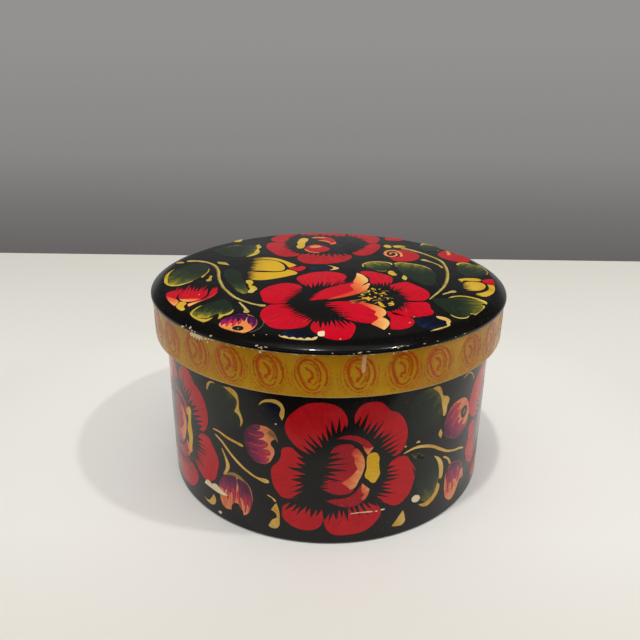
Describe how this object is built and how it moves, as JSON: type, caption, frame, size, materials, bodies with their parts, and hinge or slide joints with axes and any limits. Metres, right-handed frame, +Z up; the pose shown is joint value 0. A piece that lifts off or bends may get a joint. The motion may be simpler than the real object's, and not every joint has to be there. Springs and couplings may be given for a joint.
{
  "type": "round trinket box",
  "caption": "Round lidded trinket box of black lacquered wood painted with red flowers, with a lift-off lid whose ochre ring slips over the body.",
  "frame": {"origin": "middle of the circle that the box stands on", "axes": "+Z up along the axis of the round box, towards the lid; -Y towards the viewer of the picture"},
  "size_m": [0.1597, 0.1596, 0.0911],
  "materials": {
    "black_lacquer": "black ground under clear gloss lacquer",
    "ochre_lacquer": "ochre ground with stamped orange swirls under clear gloss lacquer",
    "plain_board": "dark stained wood, satin",
    "red_paint": "crimson glaze under clear gloss lacquer",
    "green_paint": "dark green glaze with ochre edge under clear gloss lacquer",
    "yellow_paint": "ochre yellow under clear gloss lacquer",
    "violet_paint": "violet over orange glaze under clear gloss lacquer"
  },
  "bodies": {
    "body": {"body_ring": "black_lacquer", "base_board": "plain_board"},
    "lid": {"lid_ring": "ochre_lacquer", "lid_board": "black_lacquer"}
  },
  "joints": [
    {"name": "lid_lift", "type": "slide", "parent": "body", "child": "lid", "axis": [0, 0, 1], "range_m": [0, 0.09]}
  ]
}
